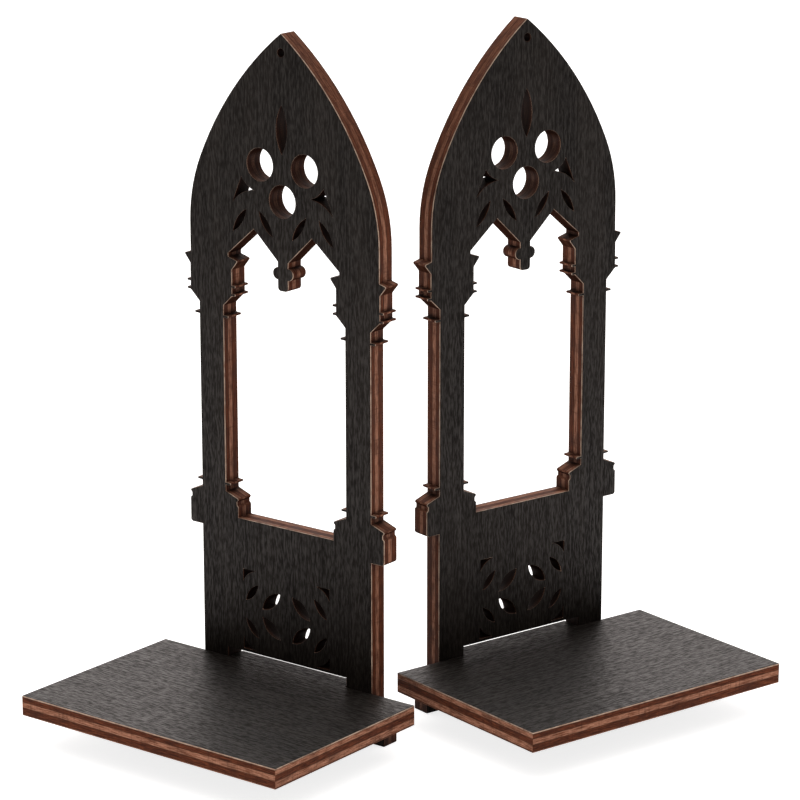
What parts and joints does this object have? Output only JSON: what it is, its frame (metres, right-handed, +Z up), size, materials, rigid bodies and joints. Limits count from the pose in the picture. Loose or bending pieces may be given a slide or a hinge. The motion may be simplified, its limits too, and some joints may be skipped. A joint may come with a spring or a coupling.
{
  "type": "book ends",
  "caption": "Gothic window book ends in black-stained laser-cut plywood: a pointed-arch upright with pierced tracery, and a base plate tongued into it.",
  "frame": {"origin": "on the table under the middle of the pair's box", "axes": "+X to the right along the shelf, +Y away from the viewer, +Z up"},
  "size_m": [0.2336, 0.1422, 0.2156],
  "materials": {
    "upright_board": "satin black stain on the faces, bare red-brown laser-cut edges",
    "base_board": "satin black stain on the faces, bare red-brown laser-cut edges"
  },
  "bodies": {
    "left_bookend": {"left_upright": "upright_board", "left_base": "base_board"},
    "right_bookend": {"right_upright": "upright_board", "right_base": "base_board"}
  },
  "joints": [
    {"name": "pair_spread", "type": "slide", "parent": "left_bookend", "child": "right_bookend", "axis": [1, 0, 0], "range_m": [0, 0.25]}
  ]
}
